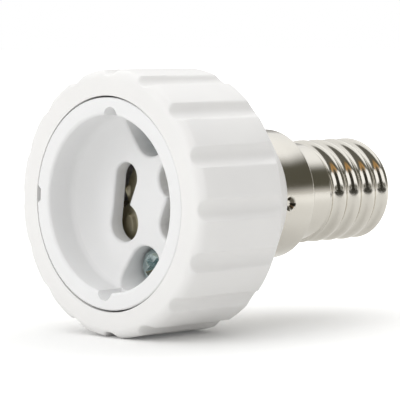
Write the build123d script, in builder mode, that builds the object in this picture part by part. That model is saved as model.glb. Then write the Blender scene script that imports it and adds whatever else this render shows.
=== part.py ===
import os
from math import acos, asin, cos, degrees, hypot, radians, sin, tan

from build123d import *

os.makedirs("parts", exist_ok=True)

# Lamp socket adapter lying on its side, in millimetres.
# Its axis runs along +Y, from the socket face to the tip of the screw cap.
# The barrel rests astride its lowest flute, and the origin is under the middle of the length.

# Barrel of the housing
LAND_R = 16.75
BARREL_LENGTH = 13.7
FRONT_ROUND = 1.3
BACK_ROUND = 0.6
BACK_ANGLE = 42.5
BACK_WALL = 2.9
SEAT_R = 9.4
NECK_BORE_R = 5.6
FLUTE_COUNT = 16
FLUTE_R = 1.2
FLUTE_DEPTH = 0.85
FLUTE_BACK_DEPTH = 0.3
FLUTE_EDGE = 0.35

# Dish of the socket insert
INSERT_R = 13.25
SEAM_GAP = 0.12
INSERT_TURN = -2.9
RIM_EDGE = 0.2
RIM_ROUND = 0.45
RECESS_R = 11.05
RECESS_WALL_DEPTH = 3.95
FLOOR_R = 8.25
FLOOR_DEPTH = 6.87
WALL_BLEND = 1.2
FLOOR_BLEND = 4.0
PLATE_THICKNESS = 1.93
PRY_NOTCH_MOUTH = 2.6
PRY_NOTCH_FLAT = 1.4
PRY_NOTCH_WIDTH = 0.7
PRY_NOTCH_DEPTH = 1.2

# Keyhole slots, drawn for the left one
ENTRY_CENTRE = (-4.2, -3.15)
ENTRY_R = 2.4
LOCK_CENTRE = (-4.2, 2.6)
LOCK_R = 1.95
THROAT_CENTRE = (-4.9, -0.4)
THROAT_R = 1.5
CUSP_ROUND = 0.5
SLOT_EDGE = 0.4

# Screw pockets, bosses and posts
POCKET_OFFSET = 8.42
POCKET_R = 2.72
UPPER_POCKET_DEPTH = 12.1
LOWER_POCKET_DEPTH = 10.1
SCALLOP_R = 1.25
SCALLOP_REACH_R = 12.1
BOSS_WALL = 1.35
BOSS_FLOOR = 1.6
POST_R = 2.9

# Insert screws
HEAD_R = 2.45
HEAD_HEIGHT = 1.9
HEAD_ROUND = 1.0
SHANK_R = 1.4
SHANK_LENGTH = 5.4
SHANK_POINT = 0.7
CROSS_LENGTH = 2.7
CROSS_WIDTH = 0.75
CROSS_DEPTH = 1.15
CROSS_TAPER = 8.0
SCREW_CLEARANCE = 0.05
HOLE_RUNOUT = 0.6

# Contact leaves, drawn for the left one
LEAF_THICKNESS = 0.4
LEAF_GAP = 1.6
LEAF_CORNER = 0.8
LEAF_ENTRY = (-5.65, -2.6)
LEAF_ENTRY_SIZE = (5.3, 4.0)
LEAF_LOCK = (-4.95, 1.55)
LEAF_LOCK_SIZE = (3.9, 6.1)
LEAF_FOOT = (-9.75, -2.9)
LEAF_FOOT_SIZE = (4.4, 4.2)
DIMPLE_CENTRE = (-6.5, -3.4)
DIMPLE_SIZE = (1.8, 2.6)
DIMPLE_HEIGHT = 0.55
DIMPLE_ROUND = 0.4
STAKE_CENTRE = (-10.6, -3.7)
STAKE_SEAT_R = 1.2
STAKE_R = 0.7
STAKE_HEAD_R = 1.1
STAKE_HEAD_HEIGHT = 0.6
STAKE_CLEARANCE = 0.05
FERRULE_CENTRE = (-9.0, -2.0)
FERRULE_R = 1.0
FERRULE_LENGTH = 2.4

# Screw cap
SHEET = 0.3
SKIRT_R = 8.5
SKIRT_LENGTH = 7.044
SHOULDER_ROUND = 0.6
CAP_NECK_R = 6.5
CAP_NECK_ROUND = 0.55
CAP_NECK_LENGTH = 5.0
THREAD_ROOT_R = 6.15
THREAD_CREST_R = 6.85
THREAD_PITCH = 2.822
THREAD_CRESTS = 4
THREAD_LEAD_IN = 0.92
LIP_ANGLE = 45.0
LIP_R = 5.45
MOUTH_R = 4.9
NECK_FIT = 0.05
NECK_END_GAP = 0.2
PUNCH_COUNT = 4
PUNCH_ANGLE = -5.0
PUNCH_INSET = 2.05
PUNCH_R = 1.2
PUNCH_DEPTH = 0.55

# Insulator and centre contact
INSULATOR_FIT = 0.05
INSULATOR_FLANGE = 1.6
INSULATOR_RISE = 1.9
INSULATOR_TOP_R = 3.4
EYELET_R = 1.3
EYELET_WALL = 0.35
EYELET_TAIL = 0.6
EYELET_HEAD_R = 2.7
EYELET_HEAD = 0.6
TIP_R = 1.7
TIP_HEIGHT = 0.55
TIP_PLUG = 1.5

# Wires
CORE_R = 0.35
SLEEVE_R = 0.9
WIRE_CLEARANCE = 0.05
WIRE_BEND = 2.5
WIRE_OFFSET = 3.2
WIRE_DROP = 2.0
WIRE_RISE = 1.0
CORE_SOAK = 0.3
CORE_STRIP = 1.2
BEAD_R = 1.0

# Depths from the socket face
back_centre_r = LAND_R - BACK_ROUND
back_end_r = back_centre_r + BACK_ROUND * cos(radians(BACK_ANGLE))
back_end_depth = BARREL_LENGTH + BACK_ROUND * sin(radians(BACK_ANGLE))
back_slope = 1 / tan(radians(BACK_ANGLE))
seat_depth = back_end_depth + back_slope * (back_end_r - SEAT_R)
plate_back = FLOOR_DEPTH + PLATE_THICKNESS
leaf_depth = plate_back + LEAF_GAP
leaf_back = leaf_depth + LEAF_THICKNESS
shoulder_depth = seat_depth + SKIRT_LENGTH
neck_end_depth = shoulder_depth - SHEET - NECK_END_GAP
thread_start = shoulder_depth + CAP_NECK_LENGTH
first_crest = thread_start + THREAD_LEAD_IN + THREAD_PITCH / 2
last_crest = first_crest + THREAD_PITCH * (THREAD_CRESTS - 1)
thread_height = THREAD_CREST_R - THREAD_ROOT_R
thread_round = ((THREAD_PITCH / 2) ** 2 + thread_height**2) / (4 * thread_height)
thread_sweep = degrees(asin(THREAD_PITCH / 4 / thread_round))
crest_centre_r = THREAD_CREST_R - thread_round
lip_sin = sin(radians(LIP_ANGLE))
lip_cos = cos(radians(LIP_ANGLE))
lip_slope = lip_sin / lip_cos
cap_end = last_crest + thread_round * lip_sin + (crest_centre_r + thread_round * lip_cos - LIP_R) / lip_slope
flange_end = cap_end - SHEET
flange_start = flange_end - INSULATOR_FLANGE
insulator_end = cap_end + INSULATOR_RISE
eyelet_end = insulator_end + EYELET_HEAD
overall_length = eyelet_end + TIP_HEIGHT

# Radii that follow from the fits
bore_r = INSERT_R + SEAM_GAP
flute_front_r = LAND_R - FLUTE_DEPTH + FLUTE_R
flute_back_r = LAND_R - FLUTE_BACK_DEPTH + FLUTE_R
neck_r = SKIRT_R - SHEET - NECK_FIT
screw_hole_r = SHANK_R + SCREW_CLEARANCE
punch_centre_r = SKIRT_R - PUNCH_DEPTH + PUNCH_R

# The lowest points are the rounded edges of the two lands beside the lowest flute, at the back of the barrel
edge_centre_r = LAND_R - FLUTE_EDGE
edge_reach = FLUTE_R + FLUTE_EDGE
edge_angle = acos(
    (edge_centre_r**2 + flute_back_r**2 - edge_reach**2) / (2 * edge_centre_r * flute_back_r)
)
axis_height = edge_centre_r * cos(edge_angle) + FLUTE_EDGE

# On the face plane x is to the right, y is up, and depth into the part is negative z
face_centre = (0, -overall_length / 2, axis_height)
FACE = Plane(origin=face_centre, x_dir=(1, 0, 0), z_dir=(0, -1, 0))
insert_x = (cos(radians(INSERT_TURN)), 0, sin(radians(INSERT_TURN)))
INSERT_FACE = Plane(origin=face_centre, x_dir=insert_x, z_dir=(0, -1, 0))
# On the profile plane x is the depth from the face, and y is the radius
PROFILE = Plane(origin=face_centre, x_dir=(0, 1, 0), z_dir=(1, 0, 0))
MAIN_AXIS = Axis(face_centre, (0, 1, 0))


def half_section(*points):
    """Closed outline of (depth, radius) points, ready to turn about the main axis."""
    with BuildSketch(PROFILE) as section:
        with BuildLine():
            Polyline(*points, close=True)
        make_face()
    return section.sketch


def lip_inner_r(inset):
    """Radius at which the lip meets the end of the cap, for an outline moved inwards by the inset."""
    lip_round = thread_round - inset
    run = cap_end - inset - last_crest - lip_round * lip_sin
    return crest_centre_r + lip_round * lip_cos - run * lip_slope


def cap_outline(inset):
    """Outline of the screw cap, moved inwards by the inset."""
    shoulder = shoulder_depth - inset
    skirt = SKIRT_R - inset
    turn = SHOULDER_ROUND - inset
    neck_fillet_r = CAP_NECK_R + CAP_NECK_ROUND
    step = CAP_NECK_R - THREAD_ROOT_R
    root = THREAD_ROOT_R - inset
    Polyline((seat_depth, 0), (seat_depth, skirt), (shoulder - turn, skirt))
    CenterArc((shoulder - turn, skirt - turn), turn, 0, 90)
    Line((shoulder, skirt - turn), (shoulder, neck_fillet_r))
    CenterArc((shoulder_depth + CAP_NECK_ROUND, neck_fillet_r), CAP_NECK_ROUND + inset, 180, 90)
    Polyline(
        (shoulder_depth + CAP_NECK_ROUND, CAP_NECK_R - inset),
        (thread_start - step, CAP_NECK_R - inset),
        (thread_start, root),
        (first_crest - THREAD_PITCH / 2, root),
    )
    # Rolled thread: equal round crests and roots that run into each other
    for turn_number in range(THREAD_CRESTS):
        crest = first_crest + THREAD_PITCH * turn_number
        root_before = (crest - THREAD_PITCH / 2, THREAD_ROOT_R + thread_round)
        root_after = (crest + THREAD_PITCH / 2, THREAD_ROOT_R + thread_round)
        crest_centre = (crest, crest_centre_r)
        CenterArc(root_before, thread_round + inset, 270, thread_sweep)
        CenterArc(crest_centre, thread_round - inset, 90, thread_sweep)
        if turn_number < THREAD_CRESTS - 1:
            CenterArc(crest_centre, thread_round - inset, 90, -thread_sweep)
            CenterArc(root_after, thread_round + inset, 270, -thread_sweep)
    # The last crest is pressed over into the lip
    lip_round = thread_round - inset
    lip_start = (last_crest + lip_round * lip_sin, crest_centre_r + lip_round * lip_cos)
    lip_end = (cap_end - inset, lip_inner_r(inset))
    CenterArc((last_crest, crest_centre_r), lip_round, 90, -LIP_ANGLE)
    Polyline(lip_start, lip_end, (cap_end - inset, 0), (seat_depth, 0))


def punch_locations():
    """Centres of the punch marks around the skirt, on a ring plane square to the axis."""
    return PolarLocations(punch_centre_r, PUNCH_COUNT, start_angle=PUNCH_ANGLE)


def fluted_section(depth):
    """Section of the barrel at a depth from the face. The flutes get shallower towards the back."""
    centre_r = flute_front_r + (flute_back_r - flute_front_r) * depth / BARREL_LENGTH
    with BuildSketch(FACE.offset(-depth)) as section:
        Circle(LAND_R)
        with PolarLocations(centre_r, FLUTE_COUNT):
            Circle(FLUTE_R, mode=Mode.SUBTRACT)
        fillet(section.vertices(), FLUTE_EDGE)
    return section.sketch


def pocket_circle(angle, depth, radius):
    """Circle about the axis of a screw pocket, at a depth from the face."""
    with BuildSketch(INSERT_FACE.offset(-depth)) as circle:
        with PolarLocations(POCKET_OFFSET, 1, start_angle=angle):
            Circle(radius)
    return circle.sketch


# Angle and depth of each screw pocket
pockets = ((90, UPPER_POCKET_DEPTH), (270, LOWER_POCKET_DEPTH))

# Depth of the ring of punch marks, behind the housing's seat
punch_plane = FACE.offset(-(seat_depth + PUNCH_INSET))

# Left keyhole: a round entry, a tapering way to the locking end and one smooth outer side
with BuildSketch() as slot_side:
    with Locations(LOCK_CENTRE):
        Circle(LOCK_R)
    with Locations(ENTRY_CENTRE):
        Circle(ENTRY_R)
    make_hull()
    with Locations(THROAT_CENTRE):
        reach = LOCK_R + ENTRY_R
        Rectangle(reach, 2 * reach, align=(Align.MIN, Align.CENTER), mode=Mode.SUBTRACT)

with BuildSketch() as keyhole:
    with Locations(LOCK_CENTRE):
        Circle(LOCK_R)
    with Locations(THROAT_CENTRE):
        Circle(THROAT_R)
    make_hull()
    with Locations(ENTRY_CENTRE):
        Circle(ENTRY_R)
    add(slot_side.sketch)
    fillet(keyhole.vertices().sort_by_distance(THROAT_CENTRE)[0], CUSP_ROUND)

# Left contact leaf, seen from the socket face
with BuildSketch() as leaf:
    with Locations(LEAF_ENTRY):
        RectangleRounded(*LEAF_ENTRY_SIZE, LEAF_CORNER)
    with Locations(LEAF_LOCK):
        RectangleRounded(*LEAF_LOCK_SIZE, LEAF_CORNER)
    with Locations(LEAF_FOOT):
        RectangleRounded(*LEAF_FOOT_SIZE, LEAF_CORNER)
    with Locations(STAKE_CENTRE):
        Circle(STAKE_R + STAKE_CLEARANCE, mode=Mode.SUBTRACT)

# Housing: fluted barrel, rounded back and the neck that carries the screw cap
with BuildPart() as housing:
    # Fluted stretch, which reaches past the rounded back edge
    fluted_length = back_end_depth + BACK_ROUND
    loft([fluted_section(0), fluted_section(fluted_length)], ruled=True)
    with BuildSketch(FACE.offset(-fluted_length)):
        Circle(LAND_R)
    extrude(amount=fluted_length - neck_end_depth)
    # Cavity behind the insert, with a back wall of even thickness
    cone_depth = back_end_depth - BACK_WALL
    cavity = half_section(
        (0, 0),
        (0, bore_r),
        (cone_depth + back_slope * (back_end_r - bore_r), bore_r),
        (cone_depth + back_slope * (back_end_r - NECK_BORE_R), NECK_BORE_R),
        (neck_end_depth, NECK_BORE_R),
        (neck_end_depth, 0),
    )
    revolve(cavity, axis=MAIN_AXIS, mode=Mode.SUBTRACT)
    # Screw posts, from the bosses of the insert into the back wall
    post_end = cone_depth + back_slope * (back_end_r - POCKET_OFFSET + POST_R)
    for angle, depth in pockets:
        boss_end = depth + BOSS_FLOOR
        extrude(pocket_circle(angle, boss_end, POST_R), amount=boss_end - post_end)
    # The outer form: rounded front edge, rounded back, cone, cap seat and neck
    with BuildSketch(PROFILE):
        with BuildLine():
            Polyline((neck_end_depth, 0), (0, 0), (0, LAND_R - FRONT_ROUND))
            CenterArc((FRONT_ROUND, LAND_R - FRONT_ROUND), FRONT_ROUND, 180, -90)
            Line((FRONT_ROUND, LAND_R), (BARREL_LENGTH, LAND_R))
            CenterArc((BARREL_LENGTH, back_centre_r), BACK_ROUND, 90, -BACK_ANGLE)
            Polyline(
                (back_end_depth, back_end_r),
                (seat_depth, SEAT_R),
                (seat_depth, neck_r),
                (neck_end_depth, neck_r),
                (neck_end_depth, 0),
            )
        make_face()
    revolve(axis=MAIN_AXIS, mode=Mode.INTERSECT)
    # Holes that the screws cut their thread in
    for angle, depth in pockets:
        hole = pocket_circle(angle, depth, screw_hole_r)
        extrude(hole, amount=-SHANK_LENGTH - HOLE_RUNOUT, mode=Mode.SUBTRACT)
    # Dents under the punch marks of the skirt
    with Locations(punch_plane):
        with punch_locations():
            Sphere(PUNCH_R + SHEET + NECK_FIT, mode=Mode.SUBTRACT)
housing.part.label = "housing"
export_step(housing.part, "parts/housing.step")

# Socket insert: bevelled dish with keyhole slots, screw pockets and stakes for the contacts
with BuildPart() as socket_insert:
    with BuildSketch(PROFILE):
        with BuildLine():
            FilletPolyline(
                (FLOOR_DEPTH, 0),
                (FLOOR_DEPTH, FLOOR_R),
                (RECESS_WALL_DEPTH, RECESS_R),
                (RIM_ROUND, RECESS_R),
                radius=(FLOOR_BLEND, WALL_BLEND),
            )
            CenterArc((RIM_ROUND, RECESS_R + RIM_ROUND), RIM_ROUND, 270, -90)
            Line((0, RECESS_R + RIM_ROUND), (0, INSERT_R - RIM_EDGE))
            CenterArc((RIM_EDGE, INSERT_R - RIM_EDGE), RIM_EDGE, 180, -90)
            Polyline((RIM_EDGE, INSERT_R), (plate_back, INSERT_R), (plate_back, 0), (FLOOR_DEPTH, 0))
        make_face()
    revolve(axis=MAIN_AXIS)
    # Bosses round the screw pockets
    for angle, depth in pockets:
        boss = pocket_circle(angle, plate_back, POCKET_R + BOSS_WALL)
        extrude(boss, amount=plate_back - depth - BOSS_FLOOR)
    # Seats and stakes that hold the contact leaves
    with BuildSketch(INSERT_FACE.offset(-plate_back)):
        with PolarLocations(0, 2):
            with Locations(STAKE_CENTRE):
                Circle(STAKE_SEAT_R)
    extrude(amount=-LEAF_GAP)
    with BuildSketch(INSERT_FACE.offset(-leaf_depth)):
        with PolarLocations(0, 2):
            with Locations(STAKE_CENTRE):
                Circle(STAKE_R)
    extrude(amount=-LEAF_THICKNESS)
    with BuildSketch(INSERT_FACE.offset(-leaf_back)):
        with PolarLocations(0, 2):
            with Locations(STAKE_CENTRE):
                Circle(STAKE_HEAD_R)
    extrude(amount=-STAKE_HEAD_HEIGHT)
    # Screw pockets with soft front edges, and a hole for each screw
    pocket_back = plate_back - overall_length / 2
    for angle, depth in pockets:
        extrude(pocket_circle(angle, 0, POCKET_R), amount=-depth, mode=Mode.SUBTRACT)
        fillet(edges(Select.LAST).filter_by(lambda edge: edge.bounding_box().max.Y < pocket_back), SLOT_EDGE)
        extrude(pocket_circle(angle, depth, screw_hole_r), amount=-BOSS_FLOOR, mode=Mode.SUBTRACT)
    # Scallops that the pockets leave in the rim
    with BuildSketch(INSERT_FACE):
        with PolarLocations(SCALLOP_REACH_R - SCALLOP_R, 2, start_angle=90):
            Circle(SCALLOP_R)
    extrude(amount=-RECESS_WALL_DEPTH, mode=Mode.SUBTRACT)
    # Keyhole slots through the floor
    with BuildSketch(INSERT_FACE.offset(-RECESS_WALL_DEPTH)):
        with PolarLocations(0, 2):
            add(keyhole.sketch)
    extrude(amount=RECESS_WALL_DEPTH - plate_back, mode=Mode.SUBTRACT)
    # Soft front edges of the slots
    slot_back = plate_back - overall_length / 2 - SLOT_EDGE
    fillet(edges(Select.LAST).filter_by(lambda edge: edge.bounding_box().max.Y < slot_back), SLOT_EDGE)
    # Notch in the rim for prying the insert out
    with BuildSketch(INSERT_FACE):
        with PolarLocations(INSERT_R, 1, start_angle=180):
            Polygon(
                (-PRY_NOTCH_WIDTH, -PRY_NOTCH_FLAT / 2),
                (PRY_NOTCH_WIDTH, -PRY_NOTCH_MOUTH + PRY_NOTCH_FLAT / 2),
                (PRY_NOTCH_WIDTH, PRY_NOTCH_MOUTH - PRY_NOTCH_FLAT / 2),
                (-PRY_NOTCH_WIDTH, PRY_NOTCH_FLAT / 2),
                align=None,
            )
    extrude(amount=-PRY_NOTCH_DEPTH, mode=Mode.SUBTRACT)
socket_insert.part.label = "socket_insert"
export_step(socket_insert.part, "parts/socket_insert.step")

# Insert screws: pan heads with a cross recess
with BuildPart() as insert_screws:
    for angle, depth in pockets:
        extrude(pocket_circle(angle, depth, HEAD_R), amount=HEAD_HEIGHT)
        fillet(edges(Select.LAST).group_by(Axis.Y)[0], HEAD_ROUND)
        extrude(pocket_circle(angle, depth, SHANK_R), amount=-SHANK_LENGTH)
        chamfer(edges(Select.LAST).group_by(Axis.Y)[-1], SHANK_POINT)
        with BuildSketch(INSERT_FACE.offset(HEAD_HEIGHT - depth)):
            with PolarLocations(POCKET_OFFSET, 1, start_angle=angle):
                Rectangle(CROSS_LENGTH, CROSS_WIDTH)
                Rectangle(CROSS_WIDTH, CROSS_LENGTH)
        extrude(amount=-CROSS_DEPTH, taper=CROSS_TAPER, mode=Mode.SUBTRACT)
insert_screws.part.label = "insert_screws"
export_step(insert_screws.part, "parts/insert_screws.step")

# Contact leaves: a flat spring with a raised dimple, and a ferrule for its wire
with BuildPart() as contact_left:
    with BuildSketch(INSERT_FACE.offset(-leaf_depth)):
        add(leaf.sketch)
    extrude(amount=-LEAF_THICKNESS)
    with BuildSketch(INSERT_FACE.offset(-leaf_depth)):
        with Locations(DIMPLE_CENTRE):
            Ellipse(DIMPLE_SIZE[0] / 2, DIMPLE_SIZE[1] / 2)
    extrude(amount=DIMPLE_HEIGHT)
    fillet(edges().group_by(Axis.Y)[0], DIMPLE_ROUND)
    with BuildSketch(INSERT_FACE.offset(-leaf_back)):
        with Locations(FERRULE_CENTRE):
            Circle(FERRULE_R)
            Circle(CORE_R + WIRE_CLEARANCE, mode=Mode.SUBTRACT)
    extrude(amount=-FERRULE_LENGTH)
contact_left.part.label = "contact_left"
export_step(contact_left.part, "parts/contact_left.step")

# The right contact is the left one turned half a turn about the axis
with BuildPart() as contact_right:
    add(contact_left.part.rotate(MAIN_AXIS, 180))
contact_right.part.label = "contact_right"
export_step(contact_right.part, "parts/contact_right.step")

# Screw cap: punched skirt, shoulder, neck and rolled thread in thin sheet
with BuildPart(mode=Mode.PRIVATE) as cap_inside:
    with BuildSketch(PROFILE):
        with BuildLine():
            cap_outline(SHEET)
        make_face()
    revolve(axis=MAIN_AXIS)
    with Locations(punch_plane):
        with punch_locations():
            Sphere(PUNCH_R + SHEET, mode=Mode.SUBTRACT)

with BuildPart() as screw_shell:
    with BuildSketch(PROFILE):
        with BuildLine():
            cap_outline(0)
        make_face()
    revolve(axis=MAIN_AXIS)
    add(cap_inside.part, mode=Mode.SUBTRACT)
    with BuildSketch(FACE.offset(-cap_end)):
        Circle(MOUTH_R)
    extrude(amount=SHEET, mode=Mode.SUBTRACT)
    with Locations(punch_plane):
        with punch_locations():
            Sphere(PUNCH_R, mode=Mode.SUBTRACT)
screw_shell.part.label = "screw_shell"
export_step(screw_shell.part, "parts/screw_shell.step")

# Insulator: a flange inside the cap and a cone through its mouth
flange_r = lip_inner_r(SHEET) - INSULATOR_FIT
with BuildPart() as cap_insulator:
    insulator_section = half_section(
        (flange_start, EYELET_R),
        (flange_start, flange_r),
        (flange_end, flange_r),
        (flange_end, MOUTH_R - INSULATOR_FIT),
        (cap_end, MOUTH_R - INSULATOR_FIT),
        (insulator_end, INSULATOR_TOP_R),
        (insulator_end, EYELET_R),
    )
    revolve(insulator_section, axis=MAIN_AXIS)
cap_insulator.part.label = "cap_insulator"
export_step(cap_insulator.part, "parts/cap_insulator.step")

# Centre contact: an eyelet through the insulator
eyelet_bore_r = EYELET_R - EYELET_WALL
eyelet_start = flange_start - EYELET_TAIL
with BuildPart() as centre_contact:
    eyelet_section = half_section(
        (eyelet_start, eyelet_bore_r),
        (eyelet_start, EYELET_R),
        (insulator_end, EYELET_R),
        (insulator_end, EYELET_HEAD_R),
        (eyelet_end, EYELET_HEAD_R),
        (eyelet_end, eyelet_bore_r),
    )
    revolve(eyelet_section, axis=MAIN_AXIS)
centre_contact.part.label = "centre_contact"
export_step(centre_contact.part, "parts/centre_contact.step")

# Wires: each leaves its ferrule, bends into the neck and runs on to the cap
ferrule_x, ferrule_y = FERRULE_CENTRE
ferrule_end = leaf_back + FERRULE_LENGTH
bend_in_depth = ferrule_end + WIRE_DROP
neck_entry_depth = seat_depth - WIRE_RISE
core_start = leaf_back + CORE_SOAK
tip_core_end = overall_length - CORE_SOAK
# The neutral wire keeps to the side of its own ferrule
side_share = WIRE_OFFSET / hypot(ferrule_x, ferrule_y)
side_x = -ferrule_x * side_share
side_y = -ferrule_y * side_share
# Its end lies beside the wall of the cap's neck
bead_r = CAP_NECK_R - SHEET - CORE_R - WIRE_CLEARANCE
bead_share = bead_r / hypot(ferrule_x, ferrule_y)
bead_x = -ferrule_x * bead_share
bead_y = -ferrule_y * bead_share
bead_depth = shoulder_depth + CAP_NECK_LENGTH / 2

live_route = [
    (ferrule_x, ferrule_y, bend_in_depth),
    (0, 0, neck_entry_depth),
]
neutral_route = [
    (-ferrule_x, -ferrule_y, bend_in_depth),
    (side_x, side_y, neck_entry_depth),
]


def wire(route, radius):
    """Round wire of straight runs joined by tangent arcs, on the insert's plane."""
    with BuildPart() as strand:
        with BuildLine(INSERT_FACE) as path:
            FilletPolyline(*[(x, y, -depth) for x, y, depth in route], radius=WIRE_BEND)
        with BuildSketch(Plane(origin=path.line @ 0, z_dir=path.line % 0)):
            Circle(radius)
        sweep(path=path.line)
    return strand.part


core_bore = CORE_R + WIRE_CLEARANCE
live_start = (ferrule_x, ferrule_y, ferrule_end)
live_sleeve_route = [live_start] + live_route + [(0, 0, eyelet_start)]
live_core_route = [(ferrule_x, ferrule_y, core_start)] + live_route + [(0, 0, tip_core_end)]
neutral_start = (-ferrule_x, -ferrule_y, ferrule_end)
neutral_sleeve_route = [neutral_start] + neutral_route + [(side_x, side_y, neck_end_depth - CORE_STRIP)]
neutral_end = [(side_x, side_y, neck_end_depth), (bead_x, bead_y, bead_depth)]
neutral_core_route = [(-ferrule_x, -ferrule_y, core_start)] + neutral_route + neutral_end

with BuildPart() as live_wire_core:
    add(wire(live_core_route, CORE_R))
live_wire_core.part.label = "live_wire_core"
export_step(live_wire_core.part, "parts/live_wire_core.step")

with BuildPart() as live_wire_sleeve:
    add(wire(live_sleeve_route, SLEEVE_R))
    add(wire(live_sleeve_route, core_bore), mode=Mode.SUBTRACT)
live_wire_sleeve.part.label = "live_wire_sleeve"
export_step(live_wire_sleeve.part, "parts/live_wire_sleeve.step")

with BuildPart() as neutral_wire_core:
    add(wire(neutral_core_route, CORE_R))
neutral_wire_core.part.label = "neutral_wire_core"
export_step(neutral_wire_core.part, "parts/neutral_wire_core.step")

with BuildPart() as neutral_wire_sleeve:
    add(wire(neutral_sleeve_route, SLEEVE_R))
    add(wire(neutral_sleeve_route, core_bore), mode=Mode.SUBTRACT)
neutral_wire_sleeve.part.label = "neutral_wire_sleeve"
export_step(neutral_wire_sleeve.part, "parts/neutral_wire_sleeve.step")

# Solder at the tip: a plug in the eyelet under a low dome
with BuildPart() as tip_solder:
    dome_r = (TIP_R**2 + TIP_HEIGHT**2) / (2 * TIP_HEIGHT)
    with BuildSketch(PROFILE):
        with BuildLine():
            Polyline(
                (overall_length, 0),
                (eyelet_end - TIP_PLUG, 0),
                (eyelet_end - TIP_PLUG, eyelet_bore_r),
                (eyelet_end, eyelet_bore_r),
                (eyelet_end, TIP_R),
            )
            RadiusArc((eyelet_end, TIP_R), (overall_length, 0), dome_r)
        make_face()
    revolve(axis=MAIN_AXIS)
    add(live_wire_core.part, mode=Mode.SUBTRACT)
tip_solder.part.label = "tip_solder"
export_step(tip_solder.part, "parts/tip_solder.step")

# Solder bead that joins the neutral wire to the wall of the cap's neck
with BuildPart() as shell_solder:
    with Locations(INSERT_FACE.offset(-bead_depth)):
        with Locations((bead_x, bead_y)):
            Sphere(BEAD_R)
    with BuildSketch(FACE.offset(-shoulder_depth)):
        Circle(CAP_NECK_R - SHEET)
    extrude(amount=-CAP_NECK_LENGTH, mode=Mode.INTERSECT)
    add(neutral_wire_core.part, mode=Mode.SUBTRACT)
shell_solder.part.label = "shell_solder"
export_step(shell_solder.part, "parts/shell_solder.step")
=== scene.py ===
import math

import bpy
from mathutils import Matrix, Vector


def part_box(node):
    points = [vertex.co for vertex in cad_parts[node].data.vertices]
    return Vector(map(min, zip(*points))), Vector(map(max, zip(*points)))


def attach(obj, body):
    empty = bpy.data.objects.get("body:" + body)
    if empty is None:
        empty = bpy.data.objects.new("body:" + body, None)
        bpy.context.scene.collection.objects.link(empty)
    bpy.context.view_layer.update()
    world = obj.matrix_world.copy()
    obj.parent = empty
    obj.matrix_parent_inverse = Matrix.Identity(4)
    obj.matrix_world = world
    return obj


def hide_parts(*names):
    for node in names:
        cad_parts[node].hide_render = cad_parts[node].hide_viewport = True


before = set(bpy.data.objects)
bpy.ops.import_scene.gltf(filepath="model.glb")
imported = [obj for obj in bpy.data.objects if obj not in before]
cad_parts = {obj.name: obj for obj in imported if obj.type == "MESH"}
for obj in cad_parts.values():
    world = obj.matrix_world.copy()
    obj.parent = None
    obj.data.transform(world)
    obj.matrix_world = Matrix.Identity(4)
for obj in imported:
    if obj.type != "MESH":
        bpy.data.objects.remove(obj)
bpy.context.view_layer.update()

# Sizes are in millimetres, as in the part's source, and MM turns them to metres
MM = 0.001
face_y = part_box("housing")[0].y
shell_low, shell_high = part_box("screw_shell")
axis_z = (shell_low.z + shell_high.z) / 2

# Housing, by depth from the socket face and by radius
LAND_R = 16.75
BARREL_LENGTH = 13.7
FRONT_ROUND = 1.3
BACK_ROUND = 0.35
BACK_END = 22.6
BACK_END_R = 9.4
BACK_WALL = 2.9
BORE_R = 13.37
MOUTH_BORE_R = 13.28
MOUTH_SPREAD = 0.2
STEM_R = 8.15
STEM_BORE_R = 5.6
STEM_END = 28.5
CAP_GAP = 0.03

# Flutes, which start on the rounded front edge and run out on the back
FLUTE_COUNT = 16
FLUTE_R = 1.5
FLUTE_FRONT_DEPTH = 0.8
FLUTE_BACK_DEPTH = 0.65
FLUTE_EDGE = 0.11
FLUTE_START = 0.05
FLUTE_RUN_OUT = 1.1
FLUTE_STEP_CROWDING = 0.6

# Posts in the housing, from the seats of the screws, and the tool that shapes their ends
POST_R = 2.9
POST_HOLE_R = 1.45
POST_GAP = 1.6
POST_HOLE_END = 6.0
SLOPE_WIDE_R = 14
SLOPE_NARROW_R = 4

# Screw cap, by depth from the socket face and by radius
SEAT_DEPTH = 21.95
SKIRT_R = 8.5
SHOULDER_DEPTH = 29.0
SHOULDER_ROUND = 0.6
NECK_R = 6.5
NECK_ROUND = 0.55
NECK_END = 34.0
SHEET = 0.3
THREAD_BLANK = 0.4
THREAD_RUN_IN = (-0.15, 0.35)
THREAD_ROOT_R = 6.15
THREAD_CREST_R = 6.85
THREAD_PITCH = 2.822
THREAD_BORE_R = 5.8
THREAD_BORE_STEP = 0.5
THREAD_BORE_END = 45.3
LAST_CREST = 44.8
CAP_END = 46.56
CAP_LIP_START = 45.42
CAP_LIP_START_R = 6.59
CAP_LIP_END_R = 5.35
CAP_LIP_INSIDE_R = 5.33
CAP_LIP_BLEND = 1
CAP_LIP_SOFTNESS = 0.1
MOUTH_R = 4.9

# Staking marks in the skirt of the cap, and the painted shade on their sides
PUNCH_COUNT = 4
PUNCH_DEPTH = 24.2
PUNCH_ANGLE = math.radians(-5)
PUNCH_R = 0.95
PUNCH_FLAT_R = 0.4
PUNCH_DENT = 0.6
PUNCH_REACH = 1.14
PUNCH_STEP_CROWDING = 0.6
MARK_SHADE_START = 0.03
MARK_SHADE_FULL = 0.2
MARK_SHADE_FADE = 0.1

# Screws of the socket insert, which is turned a little in the housing
INSERT_TURN = math.radians(-2.9)
SCREW_OFFSET = 8.42
UPPER_SEAT = 12.1
UPPER_TURN = math.radians(20)
LOWER_SEAT = 10.1
LOWER_TURN = math.radians(48)
HEAD_HEIGHT = 1.9
HEAD_R = 2.45
HEAD_ROUND = 1.0
SHANK_R = 1.4
SHANK_LENGTH = 5.4
SHANK_POINT = 0.7
CROSS_LENGTH = 3.0
CROSS_WIDTH = 0.85
CROSS_DEPTH = 1.3
CROSS_TAPER = 0.45
CROSS_SINK = 0.48
SCREW_EDGE = 0.06

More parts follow.
